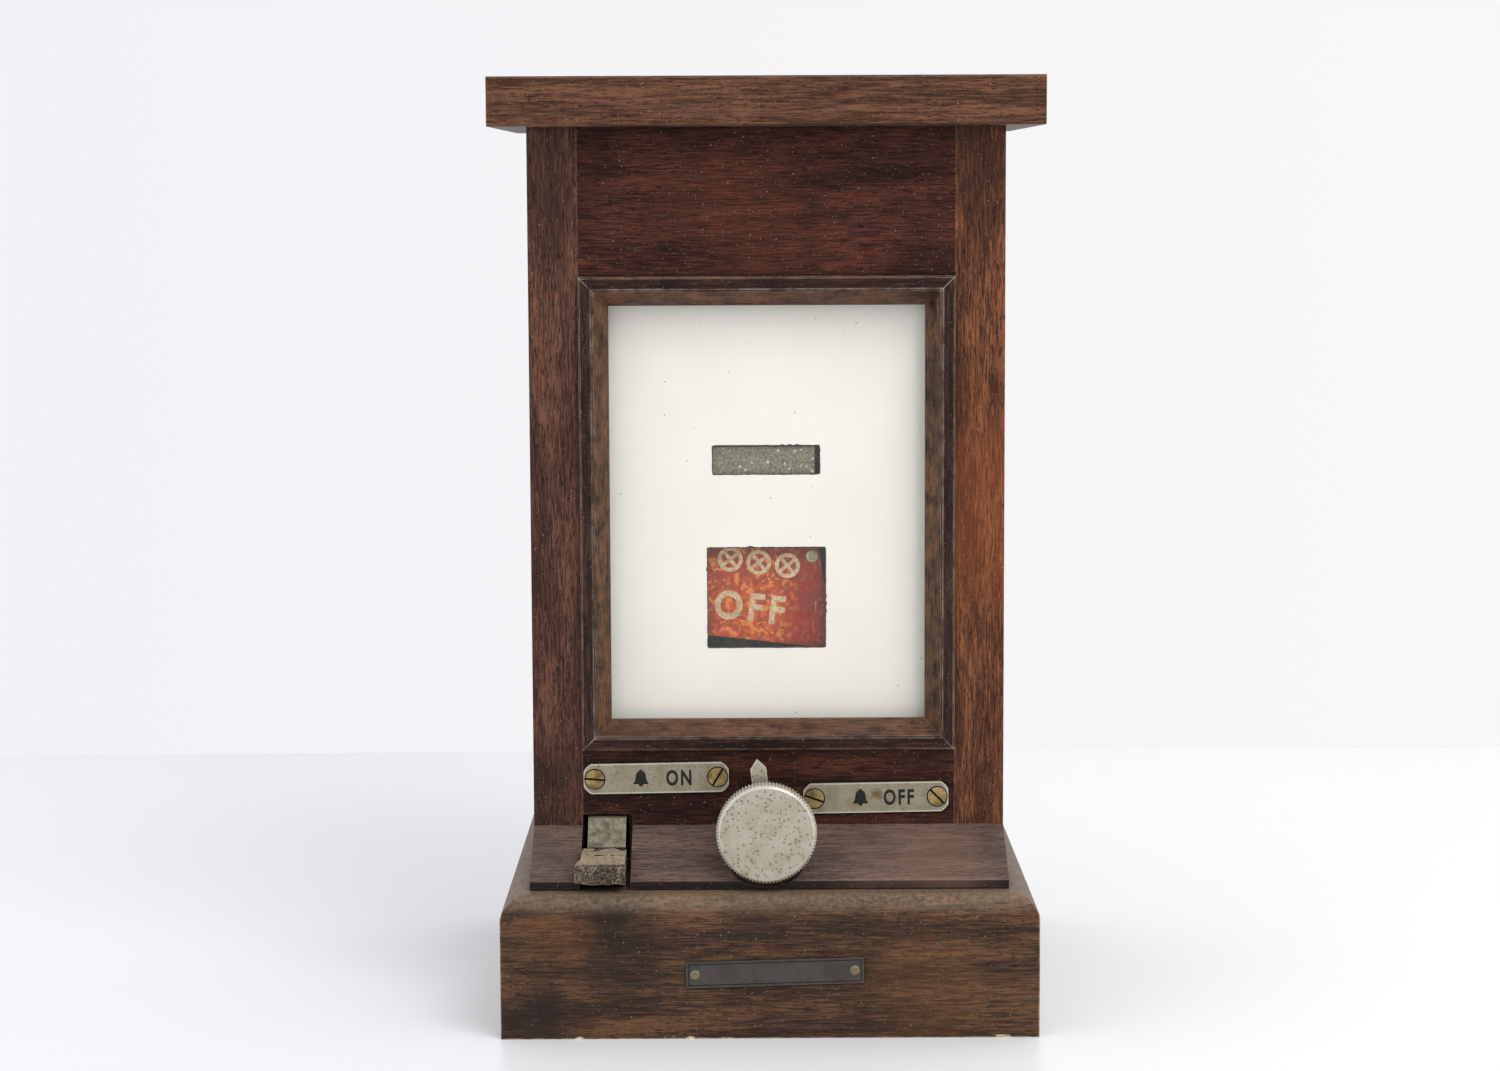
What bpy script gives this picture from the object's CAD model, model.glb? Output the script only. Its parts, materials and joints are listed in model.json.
"""Signal box lamp indicator: the finishes, the worn details, the camera and the light around the frame."""
import json
import logging
import math
import random
from dataclasses import dataclass, replace
from enum import Enum

import bmesh
import bpy
from mathutils import Matrix, Vector


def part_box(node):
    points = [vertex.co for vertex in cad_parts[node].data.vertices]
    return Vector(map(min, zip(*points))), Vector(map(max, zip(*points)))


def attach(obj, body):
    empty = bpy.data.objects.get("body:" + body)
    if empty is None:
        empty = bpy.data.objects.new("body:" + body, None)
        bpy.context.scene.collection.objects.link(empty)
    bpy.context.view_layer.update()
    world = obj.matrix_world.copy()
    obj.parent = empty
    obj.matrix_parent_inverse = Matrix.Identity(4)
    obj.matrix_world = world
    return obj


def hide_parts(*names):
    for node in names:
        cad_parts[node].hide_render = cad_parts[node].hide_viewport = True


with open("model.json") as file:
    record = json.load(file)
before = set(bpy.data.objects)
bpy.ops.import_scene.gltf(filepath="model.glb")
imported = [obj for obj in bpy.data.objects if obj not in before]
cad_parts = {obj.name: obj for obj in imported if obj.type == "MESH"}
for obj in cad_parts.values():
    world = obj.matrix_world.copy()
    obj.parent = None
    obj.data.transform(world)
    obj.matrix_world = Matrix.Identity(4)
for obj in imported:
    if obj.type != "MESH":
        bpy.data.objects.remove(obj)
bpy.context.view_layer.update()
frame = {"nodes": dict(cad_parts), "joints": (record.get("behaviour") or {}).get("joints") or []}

LOG = logging.getLogger("lamp_indicator")
MM = 0.001
PHOTO_WIDTH_PX = 1500
SENSOR_MM = 36.0
Socket = bpy.types.NodeSocket
Material = bpy.types.Material
Size = float | tuple[float, float, float]
# A stain: its hex colour, how strong it is, its place along X, Y and Z and its radius, in millimetres
Stain = tuple[str, float, float, float, float, float]


class Grain(Enum):
    """The direction in which a board's fibres run."""

    ACROSS = 0
    DEEP = 1
    UP = 2


class Body(Enum):
    """The moving bodies of the frame."""

    CASE = "case"
    KNOB = "knob_shaft"
    KEY = "press_key"
    FLAG = "flag_unit"
    DOOR = "door"


def linear(hex_colour: str) -> tuple[float, float, float, float]:
    """Turn an sRGB hex colour into linear light.

    Args:
        hex_colour: Six hex digits after a hash.

    Returns:
        Red, green, blue and an alpha of one.
    """
    parts = [int(hex_colour[i:i + 2], 16) / 255 for i in (1, 3, 5)]
    red, green, blue = [c / 12.92 if c <= 0.04045 else ((c + 0.055) / 1.055) ** 2.4 for c in parts]
    return red, green, blue, 1.0


def add_node(tree: bpy.types.NodeTree, kind: str, inputs: dict | None = None, stops: list | None = None,
             **settings: object) -> bpy.types.Node:
    """Add one shader node.

    Args:
        tree: The node tree.
        kind: The node's Blender type.
        inputs: Socket name or index to a value or to the socket that feeds it.
        stops: Place and colour of each stop, for a colour ramp.
        settings: Properties of the node.

    Returns:
        The new node.
    """
    node = tree.nodes.new(kind)
    for key, value in settings.items():
        setattr(node, key, value)
    for key, value in (inputs or {}).items():
        if isinstance(value, Socket):
            tree.links.new(value, node.inputs[key])
        else:
            node.inputs[key].default_value = value
    for index, (place, colour) in enumerate(stops or []):
        elements = node.color_ramp.elements
        element = elements[index] if index < 2 else elements.new(place)
        element.position = place
        element.color = colour
    return node


class Surface:
    """A principled material under construction, with its pattern space in millimetres."""

    def __init__(self, name: str, roughness: float, metallic: float = 0.0, **sockets: float) -> None:
        """Start a material.

        Args:
            name: The material's name.
            roughness: Roughness on the shader.
            metallic: Metallic on the shader.
            sockets: Further shader sockets, with underscores for spaces.
        """
        self.material = bpy.data.materials.new(name)
        self.material.use_nodes = True
        self.tree = self.material.node_tree
        self.shader = self.tree.nodes["Principled BSDF"]
        self.shader.inputs["Roughness"].default_value = roughness
        self.shader.inputs["Metallic"].default_value = metallic
        for key, value in sockets.items():
            self.shader.inputs[key.replace("_", " ")].default_value = value
        self.place = add_node(self.tree, "ShaderNodeTexCoord").outputs["Object"]

    def stretched(self, size_mm: Size) -> Socket:
        """Give pattern space in which one unit is the stated size.

        Args:
            size_mm: Real length of one unit, alike on every axis or apart for X, Y and Z.

        Returns:
            The vector socket.
        """
        sizes = size_mm if isinstance(size_mm, tuple) else (size_mm,) * 3
        inputs = {"Vector": self.place, "Scale": tuple(1 / (MM * size) for size in sizes)}
        return add_node(self.tree, "ShaderNodeMapping", inputs).outputs["Vector"]

    def noise(self, size_mm: Size, detail: float = 2.0) -> Socket:
        """Give a noise value whose grain has the stated size."""
        inputs = {"Vector": self.stretched(size_mm), "Scale": 1.0, "Detail": detail}
        return add_node(self.tree, "ShaderNodeTexNoise", inputs).outputs["Fac"]

    def band(self, value: Socket, low: float, high: float, start: float = 0.0, end: float = 1.0) -> Socket:
        """Map a value smoothly to another range.

        Args:
            value: The value.
            low: Where the change starts.
            high: Where it ends.
            start: What low becomes.
            end: What high becomes.

        Returns:
            The changed value.
        """
        inputs = {"Value": value, "From Min": low, "From Max": high, "To Min": start, "To Max": end}
        node = add_node(self.tree, "ShaderNodeMapRange", inputs, interpolation_type="SMOOTHSTEP")
        return node.outputs["Result"]

    def maths(self, operation: str, first: object, second: object) -> Socket:
        """Combine two values by the named operation."""
        return add_node(self.tree, "ShaderNodeMath", {0: first, 1: second}, operation=operation).outputs[0]

    def blend(self, share: object, under: object, over: object) -> Socket:
        """Lay one colour over another by a share."""
        inputs = {0: share, 6: under, 7: over}
        return add_node(self.tree, "ShaderNodeMix", inputs, data_type="RGBA", blend_type="MIX").outputs[2]

    def tint(self, under: object, mask: Socket, share: object, over: str) -> Socket:
        """Lay a hex colour over another where a mask is, at most by a share."""
        return self.blend(self.maths("MULTIPLY", mask, share), under, linear(over))

    def stained(self, under: object, stains: tuple[Stain, ...]) -> object:
        """Lay stains over a colour.

        Args:
            under: The colour.
            stains: The stains.

        Returns:
            The stained colour.
        """
        for colour, share, *where in stains:
            under = self.tint(under, self.spot(*where), share, colour)
        return under

    def specks(self, spacing_mm: float, radius_mm: float, share: float) -> Socket:
        """Give round specks scattered through space.

        Args:
            spacing_mm: Mean distance between places that may hold a speck.
            radius_mm: Radius of the largest speck.
            share: Share of the places that hold one.

        Returns:
            A value that is one in a speck.
        """
        inputs = {"Vector": self.stretched(spacing_mm), "Scale": 1.0}
        cells = add_node(self.tree, "ShaderNodeTexVoronoi", inputs)
        limit = radius_mm / spacing_mm
        dot = self.band(cells.outputs["Distance"], limit * 0.6, limit, 1.0, 0.0)
        draw = add_node(self.tree, "ShaderNodeSeparateColor", {"Color": cells.outputs["Color"]})
        return self.maths("MULTIPLY", dot, self.maths("LESS_THAN", draw.outputs["Red"], share))

    def edge(self, radius_mm: float) -> Socket:
        """Give the arrises of a piece, where hands and dusters wear it.

        Args:
            radius_mm: How far from the arris the wear reaches.

        Returns:
            A value that is one on the arrises.
        """
        rounded = add_node(self.tree, "ShaderNodeBevel", {"Radius": radius_mm * MM}, samples=4)
        true = add_node(self.tree, "ShaderNodeNewGeometry").outputs["Normal"]
        inputs = {0: rounded.outputs["Normal"], 1: true}
        facing = add_node(self.tree, "ShaderNodeVectorMath", inputs, operation="DOT_PRODUCT").outputs["Value"]
        return self.band(facing, 0.86, 0.99, 1.0, 0.0)

    def recess(self, reach_mm: float) -> Socket:
        """Give a value that is one deep in corners and slots, where grime gathers."""
        node = add_node(self.tree, "ShaderNodeAmbientOcclusion", {"Distance": reach_mm * MM}, samples=6)
        return self.band(node.outputs["AO"], 0.4, 0.88, 1.0, 0.0)

    def facing(self, axis: str) -> Socket:
        """Give how far the surface faces along X, Y or Z, from minus one to one."""
        normal = add_node(self.tree, "ShaderNodeNewGeometry").outputs["Normal"]
        return add_node(self.tree, "ShaderNodeSeparateXYZ", {"Vector": normal}).outputs[axis]

    def turned_from_front(self) -> Socket:
        """Give a value that is one on faces that don't face the front."""
        return self.band(self.facing("Y"), -0.93, -0.7)

    def upward(self) -> Socket:
        """Give a value that is one where the surface faces up, where dust settles."""
        return self.band(self.facing("Z"), 0.2, 0.95)

    def axis(self, name: str, low_mm: float, high_mm: float) -> Socket:
        """Give a value that grows from zero to one between two places on an axis."""
        value = add_node(self.tree, "ShaderNodeSeparateXYZ", {"Vector": self.place}).outputs[name]
        return self.band(value, low_mm * MM, high_mm * MM)

    def spot(self, x_mm: float, y_mm: float, z_mm: float, radius_mm: float) -> Socket:
        """Give a value that is one in the middle of a ragged spot.

        Args:
            x_mm: The spot's place along X.
            y_mm: Its place along Y.
            z_mm: Its height.
            radius_mm: Its radius.

        Returns:
            A value that falls to nothing at the radius.
        """
        inputs = {0: self.place, 1: (x_mm * MM, y_mm * MM, z_mm * MM)}
        away = add_node(self.tree, "ShaderNodeVectorMath", inputs, operation="DISTANCE").outputs["Value"]
        ragged = self.noise(radius_mm * 0.5, 4.0)
        reach = self.maths("ADD", away, self.maths("MULTIPLY", ragged, radius_mm * MM))
        return self.band(reach, radius_mm * 0.7 * MM, radius_mm * 1.3 * MM, 1.0, 0.0)

    def finish(self, colour: Socket, height: Socket | None = None,
               depth_mm: float = 0.05) -> Material:
        """Join the colour and the relief to the shader.

        Args:
            colour: The base colour.
            height: Relief from zero to one.
            depth_mm: Height of the relief.

        Returns:
            The finished material.
        """
        self.tree.links.new(colour, self.shader.inputs["Base Color"])
        if height is not None:
            inputs = {"Height": height, "Strength": 0.8, "Distance": depth_mm * MM}
            bump = add_node(self.tree, "ShaderNodeBump", inputs)
            self.tree.links.new(bump.outputs["Normal"], self.shader.inputs["Normal"])
        return self.material


@dataclass(frozen=True)
class PolishedMahogany:
    """Mahogany under old French polish: ribbon figure, dark pores, dull shine and dust in the grain."""

    name: str
    dark: str
    mid: str
    light: str
    grain: Grain = Grain.ACROSS
    worn: str = "#8d6f5c"
    wear: float = 0.55
    dust: float = 0.35
    roughness: float = 0.42
    stain: float = 0.3
    pore: str = "#1a0f0b"
    grime: float = 0.6
    slope: str = ""
    front: str = ""
    shine: float = 0.14
    dust_colour: str = "#857969"
    mitred: bool = False
    arris_mm: float = 0.5
    marks: tuple[Stain, ...] = ()
    chip: str = ""
    # Width across the grain and length along it: fibres and pores are twice as coarse as real ones, to show
    ribbon_mm: tuple[float, float] = (6.0, 60.0)
    fibre_mm: tuple[float, float] = (0.55, 9.0)
    pore_mm: tuple[float, float] = (0.34, 2.6)
    # Sizes of dark patches, streaks on a moulding, grime in corners, dust, wear along an arris and chips
    patch_mm: float = 24.0
    streak_mm: float = 5.0
    corner_mm: float = 4.0
    dust_mm: float = 1.6
    wear_mm: float = 4.0
    chip_mm: tuple[float, float, float] = (9.0, 9.0, 3.0)

    def pattern(self, s: Surface, grain_mm: tuple[float, float], detail: float) -> Socket:
        """Give a noise that follows the grain, turning with the board at a mitred corner.

        Args:
            s: The surface.
            grain_mm: Width across the grain and length along it.
            detail: Detail of the noise.

        Returns:
            The noise value.
        """
        size = [grain_mm[0]] * 3
        size[self.grain.value] = grain_mm[1]
        if not self.mitred:
            return s.noise(tuple(size), detail)
        side = s.band(s.maths("ABSOLUTE", s.facing("X"), 0.0), 0.68, 0.72)
        inputs = {0: side, 4: s.stretched(tuple(size)), 5: s.stretched((size[1], size[0], size[2]))}
        turned = add_node(s.tree, "ShaderNodeMix", inputs, data_type="VECTOR").outputs[1]
        inputs = {"Vector": turned, "Scale": 1.0, "Detail": detail}
        return add_node(s.tree, "ShaderNodeTexNoise", inputs).outputs["Fac"]

    def timber(self, s: Surface, fibre: Socket) -> Socket:
        """Give the bare wood's colour.

        Args:
            s: The surface.
            fibre: The fibres' noise.

        Returns:
            The colour, with another tone on a moulding's slope or on an apron's front edge.
        """
        ribbon = self.pattern(s, self.ribbon_mm, 3.0)
        tone = s.maths("ADD", s.maths("MULTIPLY", ribbon, 0.42), s.maths("MULTIPLY", fibre, 0.58))
        stops = [(0.41, linear(self.dark)), (0.59, linear(self.light)), (0.5, linear(self.mid))]
        wood = add_node(s.tree, "ShaderNodeValToRGB", {"Fac": tone}, stops=stops).outputs["Color"]
        if self.slope:
            streak = s.band(s.maths("ADD", fibre, s.noise(self.streak_mm, 4.0)), 0.6, 1.3)
            sloped = s.blend(streak, linear(self.dark), linear(self.slope))
            wood = s.blend(s.turned_from_front(), wood, sloped)
        if self.front:
            wood = s.blend(s.turned_from_front(), linear(self.front), wood)
        return wood

    def material(self) -> Material:
        """Lay pores, stains, grime, dust and wear over the wood.

        Returns:
            The material.
        """
        s = Surface(self.name, self.roughness, IOR=1.5, Specular_IOR_Level=self.shine)
        fibre = self.pattern(s, self.fibre_mm, 4.0)
        pores = s.band(self.pattern(s, self.pore_mm, 1.5), 0.55, 0.66)
        wood = s.tint(self.timber(s, fibre), pores, 0.8, self.pore)
        wood = s.tint(wood, s.band(s.noise(self.patch_mm, 3.0), 0.45, 0.7), self.stain, self.pore)
        wood = s.tint(wood, s.recess(self.corner_mm), self.grime, "#120b09")
        wood = s.stained(wood, self.marks)
        film = s.maths("MULTIPLY", s.upward(), s.band(s.noise(self.dust_mm, 4.0), 0.3, 0.7, 0.45, 1.0))
        wood = s.tint(wood, film, self.dust, self.dust_colour)
        specks = s.maths("MAXIMUM", s.specks(1.2, 0.19, 0.6), s.specks(2.6, 0.3, 0.3))
        wood = s.tint(wood, specks, 0.5, "#9a8d80")
        rubbed = s.band(s.noise(self.wear_mm, 4.0), 0.35, 0.65, 0.2, 1.0)
        wood = s.tint(wood, s.maths("MULTIPLY", s.edge(self.arris_mm), rubbed), self.wear, self.worn)
        if self.chip:
            low = s.maths("SUBTRACT", 1.0, s.axis("Z", 0.5, 1.1))
            wood = s.tint(wood, s.band(s.noise(self.chip_mm, 5.0), 0.56, 0.62), low, self.chip)
        return s.finish(wood, s.maths("SUBTRACT", s.maths("MULTIPLY", fibre, 0.5), pores), 0.07)


@dataclass(frozen=True)
class AgedMetal:
    """Plated or bare metal gone dull: a broken sheen, dark pits where the plate has failed, and stains."""

    name: str
    base: str
    stain: str
    pit: str
    pit_mm: float = 0.34
    pit_share: float = 0.32
    metallic: float = 0.8
    roughness: float = 0.45
    bright: str = "#d9d5c8"
    edge_share: float = 0.5
    grime: str = "#1c160e"
    cloud_mm: float = 5.5
    cloud: float = 0.5
    edge_mm: float = 0.25
    recess_mm: float = 0.9
    mottle_mm: float = 0.9
    pit_spacing_mm: float = 1.5
    # Places along Y: behind the first lies the dark floor of a slot, before the second the mouth of a gap
    sunk_mm: float = 0.0
    gap_mm: float = 0.0
    spots: tuple[Stain, ...] = ()

    def material(self) -> Material:
        """Lay stains, pits, bright arrises and grime over the metal.

        Returns:
            The material.
        """
        s = Surface(self.name, self.roughness, self.metallic)
        cloud = s.band(s.noise(self.cloud_mm, 4.0), 0.38, 0.68)
        metal = s.tint(linear(self.base), cloud, self.cloud, self.stain)
        mottle = s.band(s.noise(self.mottle_mm), 0.4, 0.7)
        metal = s.tint(metal, mottle, 0.25, self.stain)
        eaten = s.band(s.noise(self.pit_mm * 1.6, 1.5), 0.62, 0.7)
        pits = s.maths("MAXIMUM", s.specks(self.pit_spacing_mm, self.pit_mm * 0.85, self.pit_share), eaten)
        metal = s.tint(metal, pits, 0.6, self.pit)
        metal = s.tint(metal, s.edge(self.edge_mm), self.edge_share, self.bright)
        metal = s.stained(metal, self.spots)
        metal = s.tint(metal, s.recess(self.recess_mm), 0.85, self.grime)
        if self.sunk_mm:
            metal = s.blend(s.axis("Y", self.sunk_mm, self.sunk_mm + 0.08), metal, linear(self.grime))
        if self.gap_mm:
            metal = s.blend(s.axis("Y", self.gap_mm + 0.3, self.gap_mm), metal, linear(self.grime))
        return s.finish(metal, s.maths("SUBTRACT", s.maths("MULTIPLY", mottle, 0.2), pits), 0.03)


@dataclass(frozen=True)
class Paint:
    """Brushed or stoved paint on sheet metal, with two tones, chips and grime."""

    name: str
    base: str
    second: str
    chip: str
    cloud_mm: float
    cloud: float = 0.8
    chips: float = 0.4
    chip_mm: float = 0.3
    roughness: float = 0.6
    grit: float = 0.0
    cut_edge: str = ""
    grit_mm: float = 0.8
    chip_spacing_mm: float = 1.8

    def material(self) -> Material:
        """Lay the second tone, grit and chips over the paint.

        Returns:
            The material.
        """
        s = Surface(self.name, self.roughness, Specular_IOR_Level=0.35)
        cloud = s.band(s.noise(self.cloud_mm, 3.0), 0.35, 0.65)
        colour = s.tint(linear(self.base), cloud, self.cloud, self.second)
        colour = s.tint(colour, s.band(s.noise(self.grit_mm, 3.0), 0.42, 0.6), self.grit, self.chip)
        colour = s.tint(colour, s.specks(self.chip_spacing_mm, self.chip_mm, self.chips), 0.8, self.chip)
        if self.cut_edge:
            colour = s.blend(s.turned_from_front(), colour, linear(self.cut_edge))
        return s.finish(colour, s.noise(self.grit_mm), 0.01)


@dataclass(frozen=True)
class FlagPaint:
    """Signal red gone orange in the middle, with a deep red side, a brown top and fine grit in it."""

    name: str
    middle: str = "#c4562a"
    middle_cloud: str = "#b03c26"
    side: str = "#86120c"
    top: str = "#823225"
    grit: str = "#74382a"
    bright: str = "#e08a3c"
    scratch: str = "#b59a86"
    smudge: tuple[Stain, ...] = (("#5c332c", 0.5, 17.0, -32.9, 133.0, 7.0),)
    cloud_mm: float = 5.0
    grit_mm: float = 1.3
    bright_mm: float = 1.6
    scratch_mm: tuple[float, float, float] = (0.3, 0.3, 3.5)

    def material(self) -> Material:
        """Fade the red from side to side and from foot to top, then lay grit and scratches over it.

        Returns:
            The material.
        """
        s = Surface(self.name, 0.6, Specular_IOR_Level=0.15)
        cloud = s.band(s.noise(self.cloud_mm, 4.0), 0.35, 0.7)
        colour = s.tint(linear(self.middle), cloud, 0.5, self.middle_cloud)
        left_edge = s.maths("SUBTRACT", 0.6, s.axis("X", -22.0, -17.0))
        right = s.axis("X", 0.0, 12.0)
        colour = s.tint(colour, s.maths("MAXIMUM", right, left_edge), 0.9, self.side)
        colour = s.tint(colour, s.axis("Z", 132.0, 149.0), 0.75, self.top)
        colour = s.stained(colour, self.smudge)
        fine = s.band(s.noise(self.grit_mm, 5.0), 0.46, 0.56)
        colour = s.tint(colour, fine, 0.6, self.grit)
        left = s.maths("SUBTRACT", 0.75, s.maths("MULTIPLY", right, 0.6))
        colour = s.tint(colour, s.band(s.noise(self.bright_mm, 5.0), 0.53, 0.62), left, self.bright)
        scratch = s.band(s.noise(self.scratch_mm), 0.68, 0.74)
        return s.finish(s.tint(colour, scratch, s.axis("X", 4.0, 12.0), self.scratch), fine, 0.02)


@dataclass(frozen=True)
class WindowGlass:
    """Sheet glass seen nearly square on: clear, with a faint shine and dust on it."""

    name: str = "window_glass"
    dust_spacing_mm: float = 7.0
    dust_mm: float = 0.32
    dust_share: float = 0.35

    def material(self) -> Material:
        """Make the sheet clear but for its dust.

        Returns:
            The material.
        """
        s = Surface(self.name, 0.04, IOR=1.5)
        dust = s.specks(self.dust_spacing_mm, self.dust_mm, self.dust_share)
        s.tree.links.new(s.band(dust, 0.0, 1.0, 0.025, 0.6), s.shader.inputs["Alpha"])
        return s.finish(s.blend(dust, linear("#f4f4f0"), linear("#a9a294")))


@dataclass(frozen=True)
class CottonWinding:
    """Cotton-covered copper wire, layer wound, so that each turn shows as a ridge."""

    name: str = "cotton_winding"
    pitch_mm: float = 0.186
    # One unit of Blender's wave pattern is 20 radians of the wave
    wave_units: float = 2 * math.pi / 20

    def material(self) -> Material:
        """Ridge the copper-brown cotton once a turn.

        Returns:
            The material.
        """
        s = Surface(self.name, 0.85)
        inputs = {"Vector": s.stretched(self.pitch_mm), "Scale": self.wave_units}
        turns = add_node(s.tree, "ShaderNodeTexWave", inputs, bands_direction="X").outputs["Fac"]
        return s.finish(s.blend(turns, linear("#4a1c14"), linear("#8a3a28")), turns, 0.2)


class Finishes:
    """Every finish of the instrument, built once."""

    def __init__(self) -> None:
        """Build the materials."""
        self.polish_boards()
        self.glaze()
        self.dull_metals()
        self.lay_paint()

    def polish_boards(self) -> None:
        """Polish the boards of the case, each toned and stained as it shows."""
        up = Grain.UP
        left_stains = (
            ("#22140f", 0.5, -76.0, -48.4, 72.0, 34.0), ("#22140f", 0.4, -76.0, -48.4, 270.0, 26.0))
        right_stains = (
            ("#a4582c", 0.22, 68.0, -48.4, 165.0, 62.0), ("#2a1811", 0.45, 68.0, -48.4, 272.0, 30.0))
        panel_stains = (
            ("#1f100c", 0.5, 50.0, -48.4, 240.0, 30.0), ("#1f100c", 0.45, -60.0, -48.4, 276.0, 22.0),
            ("#673826", 0.14, -8.0, -48.4, 262.0, 36.0))
        plinth_stains = (
            ("#17100d", 0.85, -50.0, -82.0, 42.0, 21.0), ("#1f1612", 0.6, -46.0, -85.4, 26.0, 26.0),
            ("#211815", 0.75, -74.0, -85.4, 3.0, 27.0), ("#2c1f17", 0.55, -2.0, -82.0, 43.0, 22.0),
            ("#8a5c34", 0.14, 48.0, -85.4, 16.0, 34.0), ("#74492a", 0.22, -66.0, -85.4, 33.0, 16.0),
            ("#5e3220", 0.7, 50.2, -85.4, 32.4, 3.0))
        apron_stains = (
            ("#38312f", 0.45, -72.0, -62.0, 52.0, 20.0), ("#8f6c5a", 0.3, 52.0, -62.0, 52.0, 42.0))
        # French polish gone brown, shaded at the foot and under the cap
        self.stile_left = PolishedMahogany(
            "mahogany_left", "#37221c", "#52342b", "#6c4839", up, marks=left_stains).material()
        # The same polish faded to a warm glow half way up
        self.stile_right = PolishedMahogany(
            "mahogany_right", "#42241a", "#603a27", "#845234", up, marks=right_stains).material()
        # Dark figured wood with a little red in it, and deep grime round its edges
        self.panel = PolishedMahogany(
            "mahogany_panel", "#2a1613", "#42251e", "#583126", roughness=0.36, shine=0.08, grime=0.8,
            marks=panel_stains).material()
        # Darker still, in the shade behind the knob
        self.rail = PolishedMahogany(
            "mahogany_rail", "#241312", "#3a211b", "#512e21", grime=0.9, shine=0.08).material()
        # Rubbed along every arris, its grain turned at the corners
        self.cap = PolishedMahogany(
            "mahogany_cap", "#3f271c", "#593a2a", "#734e39", wear=0.8, mitred=True).material()
        # Dusty and scuffed, with pale chips along the floor and dark stains by the key
        self.plinth = PolishedMahogany(
            "mahogany_plinth", "#302015", "#4a3323", "#674830", wear=0.8, roughness=0.48, stain=0.15,
            shine=0.2, dust=0.4, chip="#d2bb98", dust_colour="#b49d85", worn="#bfa688", arris_mm=0.9,
            mitred=True, marks=plinth_stains).material()
        # A greyish violet bloom on the polish, and a black front edge
        self.apron = PolishedMahogany(
            "mahogany_apron", "#3f2e2b", "#5c4744", "#795d56", dust=0.2, shine=0.28, front="#160b09",
            roughness=0.38, arris_mm=0.4, marks=apron_stains).material()
        # Plain dull polish
        self.door = PolishedMahogany("mahogany_door", "#321e18", "#4e3329", "#6a4839", up).material()
        # Bare softwood, matt and yellowish
        self.deal = PolishedMahogany(
            "floor_board", "#3b2a1c", "#5b432d", "#7a5f42", dust=0.1, roughness=0.75).material()
        # Torn end grain, matt, pale and full of dust
        self.fracture = PolishedMahogany(
            "broken_key_cap", "#39322b", "#665b4f", "#988875", Grain.DEEP, worn="#b3a18d", wear=0.5, dust=0.9,
            roughness=0.85, dust_colour="#a8977f", grime=0.3).material()

    def glaze(self) -> None:
        """Polish the moulding, dark in front and paler on its slope, and clear the glass."""
        # Nearly black in front, worn pale at the arris, brown streaks on the slope
        across = PolishedMahogany(
            "moulding_across", "#1c0f0c", "#301b15", "#442a21", worn="#a3968b", wear=1.0, dust=0.12,
            slope="#76503a")
        self.frame_across = across.material()
        self.frame_up = replace(across, name="moulding_up", dark="#1c100e", mid="#301e19", light="#442f28",
                                grain=Grain.UP, slope="#795841").material()
        # Plain brown strips
        self.bead = PolishedMahogany("glazing_bead", "#3a2a1f", "#4e3b2d", "#6a523f", Grain.UP).material()
        # Clear but for a few specks
        self.glass = WindowGlass().material()

    def dull_metals(self) -> None:
        """Dull the nickel, brass, bronze and steel."""
        # A warm grey shine with dark pits
        self.nickel = AgedMetal(
            "pitted_nickel", "#bab4a5", "#a09880", "#5c564b", pit_mm=0.6, pit_share=0.6,
            bright="#fffdf4", edge_share=0.9, edge_mm=0.5, recess_mm=0.2).material()
        # The rim that fingers keep clean: paler, with few pits
        self.rubbed = AgedMetal(
            "rubbed_nickel", "#dcd8cb", "#c2bbaa", "#8a8272", pit_mm=0.3, pit_share=0.2, metallic=0.6,
            roughness=0.35, recess_mm=0.2).material()
        # Bright teeth with grime between them
        self.knurl = AgedMetal(
            "knurled_nickel", "#cfcaba", "#9d9580", "#5b5446", pit_mm=0.3, pit_share=0.4, metallic=0.4,
            bright="#f4f1e6", edge_share=0.8, roughness=0.5, recess_mm=0.2).material()
        # Nickel worn to a greenish grey, its edges still bright
        plate = AgedMetal(
            "dull_nickel_plate", "#9b9483", "#7b6f4c", "#5f553f", pit_mm=0.45, pit_share=0.4,
            bright="#f2ecda", edge_share=0.9, edge_mm=1.0, recess_mm=0.4, cloud_mm=4.5)
        self.plate = plate.material()
        spots = (("#6b5836", 0.9, 35.4, -49.6, 71.2, 3.0), ("#8d7d58", 0.6, 28.0, -49.6, 68.0, 3.8))
        self.stained = replace(plate, name="stained_nickel_plate", spots=spots).material()
        # Blotched grey, dark where it meets the block
        self.lever = AgedMetal(
            "dirty_nickel", "#938c78", "#5c564a", "#3a362e", pit_mm=0.5, pit_share=0.6, gap_mm=-59.3,
            roughness=0.6, cloud_mm=2.6, cloud=0.8, metallic=0.55).material()
        # Yellow heads with black slots
        self.screw_brass = AgedMetal(
            "screw_brass", "#ad9662", "#614c30", "#2e2618", pit_mm=0.35, pit_share=0.5, bright="#e2d3a4",
            roughness=0.42, cloud_mm=3.0, cloud=0.8, sunk_mm=-50.04).material()
        # Brown lacquered brass
        self.hinge_brass = AgedMetal(
            "dull_brass", "#9a8555", "#7f6c42", "#3c3220", pit_mm=0.3, pit_share=0.4, bright="#d8c48c",
            cloud_mm=8.0).material()
        # Even grey with a few rust spots
        self.steel = AgedMetal(
            "plain_steel", "#8e8e8c", "#77746f", "#4b4640", pit_mm=0.25, pit_share=0.2).material()
        # Almost black, with a thin shine
        self.bronze = AgedMetal(
            "dark_bronze", "#4b4843", "#34302b", "#23201d", pit_mm=0.25, pit_share=0.3, metallic=0.5,
            bright="#77716a", roughness=0.5).material()
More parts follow.
